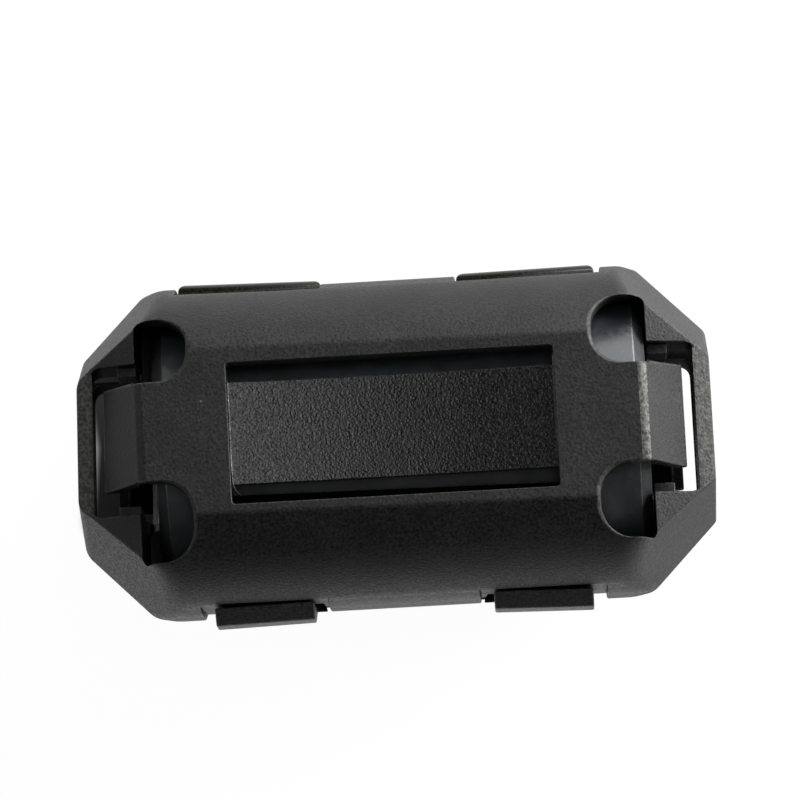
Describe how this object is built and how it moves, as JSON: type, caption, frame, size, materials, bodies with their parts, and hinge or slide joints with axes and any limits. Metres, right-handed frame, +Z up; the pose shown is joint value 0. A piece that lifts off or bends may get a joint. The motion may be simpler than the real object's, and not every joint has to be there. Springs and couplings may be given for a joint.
{
  "type": "clip on ferrite bead",
  "caption": "Split ferrite core in a hinged and latched plastic case with spring panels and grip tongues, clipped round a cable to damp interference.",
  "frame": {"origin": "on the axis of the cable's hole, in the plane where the two halves meet, halfway along the case", "axes": "+X along the cable, +Y towards the hinge straps, +Z up out of the upper half"},
  "size_m": [0.03, 0.0165, 0.015],
  "materials": {
    "case_plastic": "black moulded plastic with a fine eroded grain",
    "strap_plastic": "the same black plastic, thin and bent, with a smooth satin surface",
    "ferrite": "bare grey ferrite, matt on the outside and ground on the mating faces"
  },
  "bodies": {
    "base": {"lower_shell": "case_plastic", "lower_core": "ferrite", "hinge_strap_left": "strap_plastic", "hinge_strap_right": "strap_plastic"},
    "lid": {"upper_shell": "case_plastic", "upper_core": "ferrite"}
  },
  "joints": [
    {"name": "lid_hinge", "type": "hinge", "parent": "base", "child": "lid", "pos_m": [0, 0.00813, 0], "axis": [-1, 0, 0], "range_deg": [0, 180], "deforming": ["hinge_strap_left", "hinge_strap_right"]}
  ]
}
